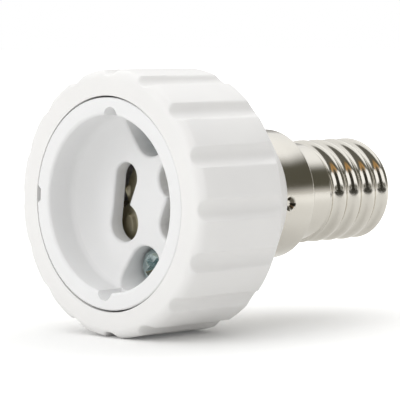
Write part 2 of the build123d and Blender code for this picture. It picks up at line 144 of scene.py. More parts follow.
# Left contact leaf, seen from the socket face: across to the right and up from the axis
LEAF_DEPTH = 10.4
LEAF_SHEET = 0.4
LEAF_LEFT = -11.95
LEAF_RIGHT = -3.0
LEAF_LOW = -6.0
LEAF_HIGH = 4.6
LEAF_MARGIN = 0.2
LEAF_EDGE = 0.03
LEAF_LIP_EDGE = -7.12
LEAF_LIP_START = -7.22
LEAF_LIP_INSIDE = -6.7
LEAF_LIP_LOW = -0.6
LEAF_LIP_TOP = 0.8
LEAF_LIP_HIGH = 1.5
LEAF_LIP_RISE = 0.62
LEAF_OUTLINE = [
    (LEAF_LEFT, -5.0), (-8.4, -5.0), (-8.4, LEAF_LOW), (-4.2, LEAF_LOW), (LEAF_RIGHT, -4.8),
    (LEAF_RIGHT, LEAF_HIGH), (-6.0, LEAF_HIGH), (-6.4, 3.4), (-6.9, 2.3), (LEAF_LIP_EDGE, LEAF_LIP_HIGH),
    (LEAF_LIP_EDGE, LEAF_LIP_LOW), (-6.93, -1.05), (-8.27, -2.23), (-8.5, -0.8), (LEAF_LEFT, -0.8),
]
TAB_CENTRE = (-6.42, -4.05)
TAB_SIZE = (1.5, 3.0)
TAB_HEIGHT = 0.5
TAB_SLOPE = 0.18
ARM_TILT = 0.13
ARM_HINGE = -5.6
ARM_START = (-9.6, -8.5)
DIE_REACH = 1.5
STAKE_CENTRE = (-10.6, -3.7)
STAKE_HOLE_R = 0.75
STAKE_HOLE_LENGTH = 2
FERRULE_CENTRE = (-9.0, -2.0)
FERRULE_R = 1.0
FERRULE_BORE_R = 0.4
FERRULE_START = 10.45
FERRULE_END = 13.2

# Rows and steps of the meshes, how near a point lies to its surface, and how near points are merged
BEND_ROWS = 8
PUNCH_ROWS = 48
NECK_ROWS = 4
THREAD_ROWS = 120
CAP_LIP_ROWS = 18
CAP_STEPS = 300
FRONT_ROWS = 14
BARREL_ROWS = 10
BACK_EDGE_ROWS = 6
FLUTED_BACK_ROWS = 14
BACK_ROWS = 4
STEM_ROWS = 20
FLUTE_STEPS = 40
POST_STEPS = 48
SLOPE_STEPS = 96
SCREW_STEPS = 64
LEAF_COLUMNS = 110
LEAF_ROWS = 120
FERRULE_STEPS = 32
STAKE_HOLE_STEPS = 32
NEAR = 0.01
MERGE_GAP = 0.001

# Edges sharper than these angles, in degrees, stay crisp
TURNED_CREASE = 35
FITTING_CREASE = 40
LEAF_CREASE = 50

# Sizes of the patterns in the finishes, and how far their gloss varies
TOOL_GRAIN = 0.12
TOOL_GRAIN_HEIGHT = 0.02
MELT_CLOUD = 6
HANDLING_CLOUD = 3
PLASTIC_GLOSS_SPREAD = 0.12
METAL_GLOSS_LEAST = 0.8
METAL_GLOSS_MOST = 1.3


def srgb(code):
    """Linear colour of an sRGB hex code."""
    channels = [int(code[i:i + 2], 16) / 255 for i in (1, 3, 5)]
    linear = [c / 12.92 if c <= 0.04045 else ((c + 0.055) / 1.055) ** 2.4 for c in channels]
    return (*linear, 1.0)


def add_node(tree, kind, values=None, links=None, **settings):
    """Adds a node with its settings, socket values and links."""
    node = tree.nodes.new(kind)
    for name, value in settings.items():
        setattr(node, name, value)
    for socket, value in (values or {}).items():
        node.inputs[socket].default_value = value
    for socket, source in (links or {}).items():
        tree.links.new(source, node.inputs[socket])
    return node


def new_material(name):
    """An empty node material, with its tree and its output node."""
    material = bpy.data.materials.new(name)
    material.use_nodes = True
    tree = material.node_tree
    tree.nodes.clear()
    return material, tree, add_node(tree, "ShaderNodeOutputMaterial")


def dress(piece, material):
    """Gives a piece one material."""
    piece.data.materials.clear()
    piece.data.materials.append(material)


def rows(start, end, count):
    """Evenly spaced values from the start up to, and without, the end."""
    return [start + (end - start) * i / count for i in range(count)]


def arc(depth, radius, bend, start, end, count):
    """Points of a round in an outline, about a centre, from the start angle up to, and without, the end."""
    angles = rows(start, end, count)
    return [(depth + bend * math.cos(angle), radius + bend * math.sin(angle)) for angle in angles]


def ease(value, low, high):
    """Smooth step from 0 at the low value to 1 at the high one."""
    share = min(1.0, max(0.0, (value - low) / (high - low)))
    return share * share * (3 - 2 * share)


def soft_least(first, second, soft):
    """The lesser of two values, with a soft change from one to the other."""
    return min(first, second) - soft * math.log(1 + math.exp(-abs(first - second) / soft))


def insert_point(across, up, depth):
    """Place of a point on the turned insert: to the right, up and in from the face, in metres."""
    cos, sin = math.cos(INSERT_TURN), math.sin(INSERT_TURN)
    right, above = cos * across - sin * up, sin * across + cos * up
    return Vector((right * MM, face_y + depth * MM, axis_z + above * MM))


def select_only(piece):
    """Selects one piece and makes it the active one."""
    bpy.ops.object.select_all(action="DESELECT")
    piece.select_set(True)
    bpy.context.view_layer.objects.active = piece


def start_at(place, name):
    """A new piece of one point, ready to be extruded."""
    bpy.ops.object.select_all(action="DESELECT")
    bpy.ops.mesh.primitive_plane_add(size=MM, location=place)
    piece = bpy.context.object
    piece.name = name
    bpy.ops.object.transform_apply(location=True, rotation=True, scale=True)
    bpy.ops.object.mode_set(mode="EDIT")
    bpy.ops.mesh.select_all(action="SELECT")
    bpy.ops.mesh.merge(type="CENTER")
    return piece


def draw_on(points):
    """Extrudes the last point of a piece from place to place."""
    for here, there in zip(points, points[1:]):
        bpy.ops.mesh.extrude_region_move(TRANSFORM_OT_translate={"value": there - here})


def turned(name, outline, steps, centre=Vector((0, 0, axis_z))):
    """Spins an outline of (depth, radius) points about an axis along the part."""
    points = [Vector((centre.x, face_y + depth * MM, centre.z + radius * MM)) for depth, radius in outline]
    piece = start_at(points[0], name)
    draw_on(points)
    bpy.ops.mesh.select_all(action="SELECT")
    bpy.ops.mesh.spin(steps=steps, angle=2 * math.pi, center=centre, axis=(0, 1, 0))
    bpy.ops.mesh.select_all(action="SELECT")
    bpy.ops.mesh.remove_doubles(threshold=MERGE_GAP * MM)
    bpy.ops.mesh.normals_make_consistent(inside=False)
    bpy.ops.object.mode_set(mode="OBJECT")
    return piece


def press(piece, pressed_radius, marks, middle, crowding):
    """Moves each point of a turned piece to its pressed radius, with finer steps near the marks round it."""
    for vertex in piece.data.vertices:
        depth = (vertex.co.y - face_y) / MM
        across, up = vertex.co.x / MM, (vertex.co.z - axis_z) / MM
        angle = math.atan2(up, across)
        angle -= crowding / marks * math.sin(marks * (angle - middle))
        radius = pressed_radius(depth, math.hypot(across, up), angle)
        vertex.co.x = radius * math.cos(angle) * MM
        vertex.co.z = axis_z + radius * math.sin(angle) * MM


def use_tool(piece, tool, operation):
    """Cuts a piece with a tool, and takes the tool away."""
    select_only(piece)
    cut = piece.modifiers.new("cut", "BOOLEAN")
    cut.object = tool
    cut.operation = operation
    cut.solver = "MANIFOLD"
    bpy.ops.object.modifier_apply(modifier="cut")
    bpy.data.objects.remove(tool)


def smooth(piece, crease):
    """Shades a piece smooth, except at edges sharper than the crease angle."""
    select_only(piece)
    bpy.ops.object.shade_smooth_by_angle(angle=math.radians(crease))


def soften(piece, width, crease):
    """Small rounds on the sharp edges of a piece, which catch the light."""
    select_only(piece)
    bevel = piece.modifiers.new("bevel", "BEVEL")
    bevel.width = width * MM
    bevel.segments = 2
    bevel.limit_method = "ANGLE"
    bevel.angle_limit = math.radians(crease)
    bpy.ops.object.modifier_apply(modifier="bevel")
    smooth(piece, crease)


def join_to(piece, addition):
    """Makes an addition part of a piece."""
    select_only(piece)
    addition.select_set(True)
    bpy.ops.object.join()


def finish_piece(piece, slot, material, *nodes):
    """Puts a finished piece in place of its CAD nodes."""
    dress(piece, material)
    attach(piece, "root")
    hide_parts(*nodes)


def moulded_plastic(name, colour, cloudy, rough):
    """Plastic moulded in a finely eroded tool: satin, with a faint grain and a soft cloudy gloss."""
    material, tree, out = new_material(name)
    coords = add_node(tree, "ShaderNodeTexCoord")
    grain = add_node(tree, "ShaderNodeTexNoise", {"Scale": 1 / (TOOL_GRAIN * MM), "Detail": 3.0},
                     {"Vector": coords.outputs["Object"]})
    bump = add_node(tree, "ShaderNodeBump", {"Strength": 0.1, "Distance": TOOL_GRAIN_HEIGHT * MM},
                    {"Height": grain.outputs["Fac"]})
    # Cloudy flow of the melt
    cloud = add_node(tree, "ShaderNodeTexNoise", {"Scale": 1 / (MELT_CLOUD * MM), "Detail": 2.0},
                     {"Vector": coords.outputs["Object"]})
    gloss = add_node(tree, "ShaderNodeMapRange", {"To Min": rough, "To Max": rough + PLASTIC_GLOSS_SPREAD},
                     {"Value": cloud.outputs["Fac"]})
    tint = add_node(tree, "ShaderNodeMix", {"A": srgb(colour), "B": srgb(cloudy)},
                    {"Factor": cloud.outputs["Fac"]}, data_type="RGBA")
    shader = add_node(tree, "ShaderNodeBsdfPrincipled", {"IOR": 1.54},
                      {"Base Color": tint.outputs["Result"], "Roughness": gloss.outputs["Result"],
                       "Normal": bump.outputs["Normal"]})
    tree.links.new(shader.outputs["BSDF"], out.inputs["Surface"])
    return material


def worked_metal(name, colour, worn, rough, grain_size, grain_height):
    """Bare or plated metal: a fine grain, and a slow change of tone and gloss from handling."""
    material, tree, out = new_material(name)
    coords = add_node(tree, "ShaderNodeTexCoord")
    grain = add_node(tree, "ShaderNodeTexNoise", {"Scale": 1 / (grain_size * MM), "Detail": 4.0},
                     {"Vector": coords.outputs["Object"]})
    cloud = add_node(tree, "ShaderNodeTexNoise", {"Scale": 1 / (HANDLING_CLOUD * MM), "Detail": 3.0},
                     {"Vector": coords.outputs["Object"]})
    bump = add_node(tree, "ShaderNodeBump", {"Strength": 0.3, "Distance": grain_height * MM},
                    {"Height": grain.outputs["Fac"]})
    gloss = add_node(tree, "ShaderNodeMapRange", {"To Min": rough * METAL_GLOSS_LEAST,
                                                  "To Max": rough * METAL_GLOSS_MOST},
                     {"Value": cloud.outputs["Fac"]})
    tint = add_node(tree, "ShaderNodeMix", {"A": srgb(colour), "B": srgb(worn)},
                    {"Factor": cloud.outputs["Fac"]}, data_type="RGBA")
    shader = add_node(tree, "ShaderNodeBsdfPrincipled", {"Metallic": 1.0},
                      {"Base Color": tint.outputs["Result"], "Roughness": gloss.outputs["Result"],
                       "Normal": bump.outputs["Normal"]})
    tree.links.new(shader.outputs["BSDF"], out.inputs["Surface"])
    return material


# White PBT of the housing and, a little cooler, of the insert
white_housing = moulded_plastic("white_pbt_housing", "#ecebea", "#f1f0ee", rough=0.38)
white_insert = moulded_plastic("white_pbt_insert", "#ebebeb", "#f0f0f0", rough=0.38)
# Black thermoset insulator, glossy from its polished mould
black_glaze = moulded_plastic("black_moulded_insulator", "#0d0d0d", "#141414", rough=0.18)
# PVC sleeves of the wires, extruded
brown_sleeve = moulded_plastic("brown_wire_sleeve", "#5a3a22", "#644229", rough=0.4)
blue_sleeve = moulded_plastic("blue_wire_sleeve", "#2c4a86", "#345391", rough=0.4)
# Nickel plate on drawn brass: bright and faintly warm, with a slight blur
nickel = worked_metal("nickel_on_brass", "#dfdcd4", "#d6d2c9", rough=0.14, grain_size=0.4, grain_height=0.002)
# Zinc plate with a bluish passivation: bright, with an uneven face
zinc = worked_metal("zinc_plated_steel", "#c9d6d6", "#a3b4b5", rough=0.16, grain_size=0.35, grain_height=0.06)
# Spring brass, rolled and dulled by a film of tarnish
leaf_brass = worked_metal("spring_brass", "#dcd6c0", "#c8c1a6", rough=0.5, grain_size=0.3, grain_height=0.01)
# Bare brass, pressed
eyelet_brass = worked_metal("eyelet_brass", "#c9b27a", "#b39a63", rough=0.25, grain_size=0.3,
                            grain_height=0.01)
# Bare drawn copper
copper = worked_metal("copper_wire", "#c8825a", "#a8643f", rough=0.3, grain_size=0.2, grain_height=0.01)
# Solder that set with a dull skin
tin = worked_metal("tin_solder", "#bdbdbb", "#a3a3a1", rough=0.3, grain_size=0.5, grain_height=0.02)


def shade_staking_marks(material):
    """Painted shade that darkens the sloping sides of the staking marks, which lie just under the surface of
    the skirt.
    """
    tree = material.node_tree
    shader = next(node for node in tree.nodes if node.type == "BSDF_PRINCIPLED")
    clean = shader.inputs["Base Color"].links[0].from_socket
    coords = add_node(tree, "ShaderNodeTexCoord")
    place = add_node(tree, "ShaderNodeVectorMath", {1: (0, face_y + PUNCH_DEPTH * MM, axis_z)},
                     {0: coords.outputs["Object"]}, operation="SUBTRACT")
    flat = add_node(tree, "ShaderNodeVectorMath", {1: (1, 0, 1)}, {0: place.outputs["Vector"]},
                    operation="MULTIPLY")
    radius = add_node(tree, "ShaderNodeVectorMath", {}, {0: flat.outputs["Vector"]}, operation="LENGTH")
    under = add_node(tree, "ShaderNodeMapRange", {"From Min": (SKIRT_R - MARK_SHADE_START) * MM,
                                                  "From Max": (SKIRT_R - MARK_SHADE_FULL) * MM},
                     {"Value": radius.outputs["Value"]})
    above = add_node(tree, "ShaderNodeMapRange", {"From Min": (SKIRT_R - PUNCH_DENT) * MM,
                                                  "From Max": (SKIRT_R - PUNCH_DENT + MARK_SHADE_FADE) * MM},
                     {"Value": radius.outputs["Value"]})
    along = add_node(tree, "ShaderNodeSeparateXYZ", {}, {0: place.outputs["Vector"]})
    apart = add_node(tree, "ShaderNodeMath", {}, {0: along.outputs["Y"]}, operation="ABSOLUTE")
    beside = add_node(tree, "ShaderNodeMath", {1: PUNCH_R * MM}, {0: apart.outputs[0]}, operation="LESS_THAN")
    side = add_node(tree, "ShaderNodeMath", {}, {0: under.outputs["Result"], 1: above.outputs["Result"]},
                    operation="MULTIPLY")
    mark = add_node(tree, "ShaderNodeMath", {}, {0: side.outputs[0], 1: beside.outputs[0]},
                    operation="MULTIPLY")
    # Painted shade: a dark warm grey mixed into the nickel on the sloping sides of the marks
    tint = add_node(tree, "ShaderNodeMix", {"B": srgb("#6a655a")}, {"Factor": mark.outputs[0], "A": clean},
                    data_type="RGBA")
    tree.links.new(tint.outputs["Result"], shader.inputs["Base Color"])


# Paints shade into the nickel on the sides of the staking marks
shade_staking_marks(nickel)

# Screw cap. Crests and roots of the thread are equal arcs that meet halfway
punch_start = PUNCH_DEPTH - PUNCH_REACH
punch_end = PUNCH_DEPTH + PUNCH_REACH
blank_start = NECK_END - THREAD_BLANK
thread_height = THREAD_CREST_R - THREAD_ROOT_R
thread_round = ((THREAD_PITCH / 4) ** 2 + thread_height**2 / 4) / thread_height


def cap_outline():
    """Skirt, shoulder, neck, thread blank and lip of the cap, then back along the inside."""
    outline = [(SEAT_DEPTH, SKIRT_R)]
    outline += [(depth, SKIRT_R) for depth in rows(punch_start, punch_end, PUNCH_ROWS)]
    outline += arc(SHOULDER_DEPTH - SHOULDER_ROUND, SKIRT_R - SHOULDER_ROUND, SHOULDER_ROUND,
                   math.pi / 2, 0, BEND_ROWS)
    outline += arc(SHOULDER_DEPTH + NECK_ROUND, NECK_R + NECK_ROUND, NECK_ROUND,
                   math.pi, math.pi * 1.5, BEND_ROWS)
    outline += [(depth, NECK_R) for depth in rows(SHOULDER_DEPTH + NECK_ROUND, blank_start, NECK_ROWS)]
    outline += [(depth, NECK_R) for depth in rows(blank_start, LAST_CREST, THREAD_ROWS)]
    outline += [(depth, NECK_R) for depth in rows(LAST_CREST, CAP_END, CAP_LIP_ROWS)]
    outline += [(CAP_END, CAP_LIP_END_R), (CAP_END, MOUTH_R), (CAP_END - SHEET, MOUTH_R)]
    outline += [(CAP_END - SHEET, CAP_LIP_INSIDE_R), (THREAD_BORE_END, THREAD_BORE_R)]
    outline += [(NECK_END, THREAD_BORE_R), (NECK_END - THREAD_BORE_STEP, NECK_R - SHEET)]
    outline += [(SHOULDER_DEPTH - SHEET, NECK_R - SHEET), (SHOULDER_DEPTH - SHEET, SKIRT_R - SHEET)]
    outline += [(depth, SKIRT_R - SHEET) for depth in rows(punch_end, punch_start, PUNCH_ROWS)]
    return outline + [(SEAT_DEPTH, SKIRT_R - SHEET), (SEAT_DEPTH, SKIRT_R)]


def rolled_radius(depth, turn):
    """Outer radius of the rolled thread at a depth and a share of a turn from +X towards +Z."""
    from_crest = abs(((depth - LAST_CREST) / THREAD_PITCH + turn + 0.5) % 1 - 0.5) * THREAD_PITCH
    if from_crest < THREAD_PITCH / 4:
        thread = THREAD_CREST_R - thread_round + math.sqrt(thread_round**2 - from_crest**2)
    else:
        from_root = THREAD_PITCH / 2 - from_crest
        thread = THREAD_ROOT_R + thread_round - math.sqrt(thread_round**2 - from_root**2)
    radius = NECK_R + (thread - NECK_R) * ease(depth - NECK_END, *THREAD_RUN_IN)
    if depth < LAST_CREST - CAP_LIP_BLEND:
        return radius
    # The end is pressed in at 45 degrees, and the two forms blend softly
    return soft_least(radius, CAP_LIP_START_R + CAP_LIP_START - depth, CAP_LIP_SOFTNESS)


def punch_dent(depth, angle):
    """Depth of the staking marks that lock the cap on the housing: blunt pits with sloping sides."""
    spacing = 2 * math.pi / PUNCH_COUNT
    away = (angle - PUNCH_ANGLE + spacing / 2) % spacing - spacing / 2
    across = math.hypot(depth - PUNCH_DEPTH, away * SKIRT_R)
    return PUNCH_DENT * min(1.0, max(0.0, (PUNCH_R - across) / (PUNCH_R - PUNCH_FLAT_R)))


def cap_radius(depth, radius, angle):
    """Radius of the cap once its thread is rolled and its staking marks are punched."""
    if blank_start < depth < CAP_END - NEAR and abs(radius - NECK_R) < NEAR:
        return rolled_radius(depth, angle / (2 * math.pi))
    if abs(depth - PUNCH_DEPTH) < PUNCH_R:
        return radius - punch_dent(depth, angle)
    return radius


screw_cap = turned("screw_cap", cap_outline(), CAP_STEPS)
press(screw_cap, cap_radius, PUNCH_COUNT, PUNCH_ANGLE, PUNCH_STEP_CROWDING)
smooth(screw_cap, TURNED_CREASE)
finish_piece(screw_cap, "cap_nickel", nickel, "screw_shell")

# Housing. Its back is a cone that starts where the round at the end of the barrel stops
back_angle = math.atan2(LAND_R - BACK_END_R, BACK_END - BARREL_LENGTH)
back_start = BARREL_LENGTH + BACK_ROUND * math.sin(back_angle)
back_start_r = LAND_R - BACK_ROUND * (1 - math.cos(back_angle))
back_slope = (BACK_END - back_start) / (back_start_r - BACK_END_R)
flute_end = back_start + back_slope * FLUTE_RUN_OUT


def inside_back(radius, wall):
    """A point at a radius on the back of the housing, less a wall."""
    return (back_start - wall + back_slope * (back_start_r - radius), radius)


def housing_outline():
    """Front ring, barrel, back and stem of the housing, then back along the cavity."""
    outline = [(0, BORE_R)]
    outline += arc(FRONT_ROUND, LAND_R - FRONT_ROUND, FRONT_ROUND, math.pi, math.pi / 2, FRONT_ROWS)
    outline += [(depth, LAND_R) for depth in rows(FRONT_ROUND, BARREL_LENGTH, BARREL_ROWS)]
    outline += arc(BARREL_LENGTH, LAND_R - BACK_ROUND, BACK_ROUND, math.pi / 2, math.pi / 2 - back_angle,
                   BACK_EDGE_ROWS)
    for depth in rows(back_start, flute_end, FLUTED_BACK_ROWS) + rows(flute_end, BACK_END, BACK_ROWS):
        outline.append((depth, back_start_r - (depth - back_start) / back_slope))
    outline += [(BACK_END, BACK_END_R), (BACK_END, SKIRT_R + CAP_GAP)]
    outline += [(SEAT_DEPTH - CAP_GAP, SKIRT_R + CAP_GAP), (SEAT_DEPTH - CAP_GAP, STEM_R)]
    outline += [(depth, STEM_R) for depth in rows(punch_start, punch_end, STEM_ROWS)]
    outline += [(STEM_END, STEM_R), (STEM_END, STEM_BORE_R)]
    outline += [inside_back(STEM_BORE_R, BACK_WALL), inside_back(BORE_R, BACK_WALL)]
    return outline + [(0, BORE_R)]


def flute_radius(depth, away):
    """Radius of the hollow of a flute, a little deeper at the front, at an angle away from its middle."""
    hollow = FLUTE_FRONT_DEPTH + (FLUTE_BACK_DEPTH - FLUTE_FRONT_DEPTH) * depth / BARREL_LENGTH
    centre_r = LAND_R - hollow + FLUTE_R
    beside = centre_r * math.sin(away)
    if abs(beside) >= FLUTE_R:
        return centre_r
    return centre_r * math.cos(away) - math.sqrt(FLUTE_R**2 - beside**2)


def housing_radius(depth, radius, angle):
    """Radius of the housing with its flutes, the mouth of its bore and the dents under the staking marks."""
    if radius > LAND_R - FRONT_ROUND + FLUTE_START:
        spacing = 2 * math.pi / FLUTE_COUNT
        away = (angle + spacing / 2) % spacing - spacing / 2
        return soft_least(radius, flute_radius(depth, away), FLUTE_EDGE)
    if depth < NEAR and abs(radius - BORE_R) < NEAR:
        # The mouth is a little out of round, so the seam opens at the top and the bottom
        return MOUTH_BORE_R + MOUTH_SPREAD * math.sin(angle) ** 4
    if depth > SEAT_DEPTH and abs(radius - STEM_R) < NEAR:
        return radius - punch_dent(depth, angle)
    return radius


def screw_post(up, seat):
    """A post that an insert screw goes into, shaped at its end by the slope of the back."""
    start, hole_end = seat + POST_GAP, seat + POST_HOLE_END
    outline = [(start, POST_HOLE_R), (start, POST_R), (STEM_END, POST_R), (STEM_END, 0), (hole_end, 0),
               (hole_end, POST_HOLE_R), (start, POST_HOLE_R)]
    post = turned("post", outline, POST_STEPS, insert_point(0, up, 0))
    wide, narrow = (inside_back(radius, BACK_WALL / 2) for radius in (SLOPE_WIDE_R, SLOPE_NARROW_R))
    slope = [(0, 0), (0, SLOPE_WIDE_R), wide, narrow, (narrow[0], 0), (0, 0)]
    use_tool(post, turned("slope", slope, SLOPE_STEPS), "INTERSECT")
    smooth(post, FITTING_CREASE)
    return post


housing = turned("fluted_housing", housing_outline(), FLUTE_COUNT * FLUTE_STEPS)
press(housing, housing_radius, FLUTE_COUNT, 0, FLUTE_STEP_CROWDING)
smooth(housing, TURNED_CREASE)
join_to(housing, screw_post(SCREW_OFFSET, UPPER_SEAT))
join_to(housing, screw_post(-SCREW_OFFSET, LOWER_SEAT))
finish_piece(housing, "housing_plastic", white_housing, "housing")


# Insert screws
def cross_blade(centre, turn):
    """A tapering blade of the punch that sinks the cross in a screw head."""
    bpy.ops.object.select_all(action="DESELECT")
    bpy.ops.mesh.primitive_cone_add(vertices=4, radius1=math.sqrt(0.5), radius2=math.sqrt(0.5) * CROSS_TAPER,
                                    depth=1, rotation=(0, 0, math.pi / 4))
    blade = bpy.context.object
    bpy.ops.object.transform_apply(location=True, rotation=True, scale=True)
    blade.scale = (CROSS_LENGTH * MM, CROSS_WIDTH * MM, CROSS_DEPTH * MM)
    bpy.ops.object.transform_apply(location=True, rotation=True, scale=True)
    blade.rotation_euler = (-math.pi / 2, turn, 0)
    blade.location = centre + Vector((0, CROSS_DEPTH * MM * CROSS_SINK, 0))
    bpy.ops.object.transform_apply(location=True, rotation=True, scale=True)
    return blade


def insert_screw(name, up, seat, turn):
    """A pan-head screw with a cross recess, turned as it was left by the driver."""
    top = seat - HEAD_HEIGHT
    end = seat + SHANK_LENGTH
    outline = [(top, 0)]
    outline += arc(top + HEAD_ROUND, HEAD_R - HEAD_ROUND, HEAD_ROUND, math.pi, math.pi / 2, BEND_ROWS)
    outline += [(top + HEAD_ROUND, HEAD_R), (seat, HEAD_R), (seat, SHANK_R)]
    outline += [(end - SHANK_POINT, SHANK_R), (end, SHANK_R - SHANK_POINT), (end, 0)]
    screw = turned(name, outline, SCREW_STEPS, insert_point(0, up, 0))
    for blade_turn in (turn, turn + math.pi / 2):
        use_tool(screw, cross_blade(insert_point(0, up, top), blade_turn), "DIFFERENCE")
    soften(screw, SCREW_EDGE, FITTING_CREASE)
    return screw


screws = insert_screw("insert_screws", SCREW_OFFSET, UPPER_SEAT, UPPER_TURN)
join_to(screws, insert_screw("lower_screw", -SCREW_OFFSET, LOWER_SEAT, LOWER_TURN))
finish_piece(screws, "screw_zinc", zinc, "insert_screws")


# Contact leaves. The side is 1 for the left leaf and -1 for its half-turned twin
def leaf_rise(across, up):
    """How far the leaf is pressed towards the socket face: a tilted arm, a curled lip and a flat tab."""
    curl = min(ease(up, LEAF_LIP_LOW, LEAF_LIP_TOP), 1 - ease(up, LEAF_LIP_TOP, LEAF_LIP_HIGH))
    lip = LEAF_LIP_RISE * curl * (1 - ease(across, LEAF_LIP_START, LEAF_LIP_INSIDE))
    reach = math.hypot((across - TAB_CENTRE[0]) / TAB_SIZE[0] * 2, (up - TAB_CENTRE[1]) / TAB_SIZE[1] * 2)
    tab = TAB_HEIGHT * (1 - ease(reach, 1, 1 + TAB_SLOPE))
    arm = ARM_TILT * max(ARM_HINGE - across, 0) * ease(across, *ARM_START)
    return arm + max(lip, tab)


def pressed_sheet(name, side):
    """The sheet of a contact leaf, pressed but not yet cut to its outline."""
    bpy.ops.object.select_all(action="DESELECT")
    bpy.ops.mesh.primitive_grid_add(x_subdivisions=LEAF_COLUMNS, y_subdivisions=LEAF_ROWS, size=1)
    leaf = bpy.context.object
    leaf.name = name
    wide = LEAF_RIGHT - LEAF_LEFT + 2 * LEAF_MARGIN
    tall = LEAF_HIGH - LEAF_LOW + 2 * LEAF_MARGIN
    for vertex in leaf.data.vertices:
        across = LEAF_LEFT - LEAF_MARGIN + (vertex.co.x + 0.5) * wide
        up = LEAF_LOW - LEAF_MARGIN + (vertex.co.y + 0.5) * tall
        vertex.co = insert_point(side * across, side * up, LEAF_DEPTH - leaf_rise(across, up))
    sheet = leaf.modifiers.new("sheet", "SOLIDIFY")
    sheet.thickness = LEAF_SHEET * MM
    sheet.offset = -1
    bpy.ops.object.modifier_apply(modifier="sheet")
    return leaf


def blanking_die(side):
    """A block with the outline of a contact leaf."""
    edge = [insert_point(side * across, side * up, LEAF_DEPTH - DIE_REACH) for across, up in LEAF_OUTLINE]
    die = start_at(edge[0], "die")
    draw_on(edge)
    bpy.ops.mesh.select_all(action="SELECT")
    bpy.ops.mesh.edge_face_add()
    bpy.ops.mesh.extrude_region_move(TRANSFORM_OT_translate={"value": (0, 2 * DIE_REACH * MM, 0)})
    bpy.ops.mesh.select_all(action="SELECT")
    bpy.ops.mesh.normals_make_consistent(inside=False)
    bpy.ops.object.mode_set(mode="OBJECT")
    return die


def stake_drill(side):
    """A drill for the hole that the stake of the insert goes through."""
    place = insert_point(side * STAKE_CENTRE[0], side * STAKE_CENTRE[1], LEAF_DEPTH)
    bpy.ops.object.select_all(action="DESELECT")
    bpy.ops.mesh.primitive_cylinder_add(vertices=STAKE_HOLE_STEPS, radius=STAKE_HOLE_R * MM,
                                        depth=STAKE_HOLE_LENGTH * MM, location=place,
                                        rotation=(math.pi / 2, 0, 0))
    return bpy.context.object


def wire_ferrule(side):
    """The ferrule that holds the wire. It starts within the sheet of the leaf."""
    outline = [(FERRULE_START, FERRULE_BORE_R), (FERRULE_START, FERRULE_R), (FERRULE_END, FERRULE_R),
               (FERRULE_END, FERRULE_BORE_R), (FERRULE_START, FERRULE_BORE_R)]
    centre = insert_point(side * FERRULE_CENTRE[0], side * FERRULE_CENTRE[1], 0)
    ferrule = turned("ferrule", outline, FERRULE_STEPS, centre)
    smooth(ferrule, FITTING_CREASE)
    return ferrule


def contact_leaf(name, side):
    """A contact leaf of spring sheet, with its ferrule."""
    leaf = pressed_sheet(name, side)
    use_tool(leaf, blanking_die(side), "INTERSECT")
    use_tool(leaf, stake_drill(side), "DIFFERENCE")
    soften(leaf, LEAF_EDGE, LEAF_CREASE)
    join_to(leaf, wire_ferrule(side))
    return leaf


finish_piece(contact_leaf("left_contact_leaf", 1), "contact_brass", leaf_brass, "contact_left")
finish_piece(contact_leaf("right_contact_leaf", -1), "contact_brass", leaf_brass, "contact_right")

# Finishes of the other pieces
for node, material in {
    "socket_insert": white_insert,
    "cap_insulator": black_glaze,
    "centre_contact": eyelet_brass,
    "tip_solder": tin,
    "shell_solder": tin,
    "live_wire_core": copper,
    "neutral_wire_core": copper,
    "live_wire_sleeve": brown_sleeve,
    "neutral_wire_sleeve": blue_sleeve,
}.items():
    dress(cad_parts[node], material)

# Studio, in metres. The floor's glow grows with the distance from the foot of the part
FLOOR_SIZE = 6
FOOT = (0, -0.018, 0)
NEAR_GLOW = {"From Min": 0.015, "From Max": 0.05, "To Min": 0.08, "To Max": 0.25}
FAR_GLOW = {"From Min": 0.05, "From Max": 0.16, "To Min": 0.0, "To Max": 0.5}
LIGHT_AT_HORIZON = 0.33
LIGHT_OVERHEAD = 1.27
CAP_MIDDLE = 0.036
STRIP_AZIMUTH = -44.5
STRIP_HEIGHT = 0.001
BEIGE_SHEET_HEIGHT = 0.0005
LIGHT_TARGET = (0, 0, 0.015)
CAMERA_LENS = 225.0
CAMERA_SENSOR = 36.0
CAMERA_NEAREST = 0.01
CAMERA_PLACE = (0.22863, face_y - 0.20862, axis_z + 0.02181)
CAMERA_LOOK = (-0.71138, 0.69945, -0.06866)


def shown_ray(tree):
    """A value of 1 for rays that show or mirror what they meet, and 0 for rays that only carry light."""
    paths = add_node(tree, "ShaderNodeLightPath")
    camera_ray, glossy_ray = paths.outputs["Is Camera Ray"], paths.outputs["Is Glossy Ray"]
    seen = add_node(tree, "ShaderNodeMath", {}, {0: camera_ray, 1: glossy_ray}, operation="MAXIMUM")
    clear_ray = paths.outputs["Is Transmission Ray"]
    shown = add_node(tree, "ShaderNodeMath", {}, {0: seen.outputs[0], 1: clear_ray}, operation="MAXIMUM")
    return shown.outputs[0]


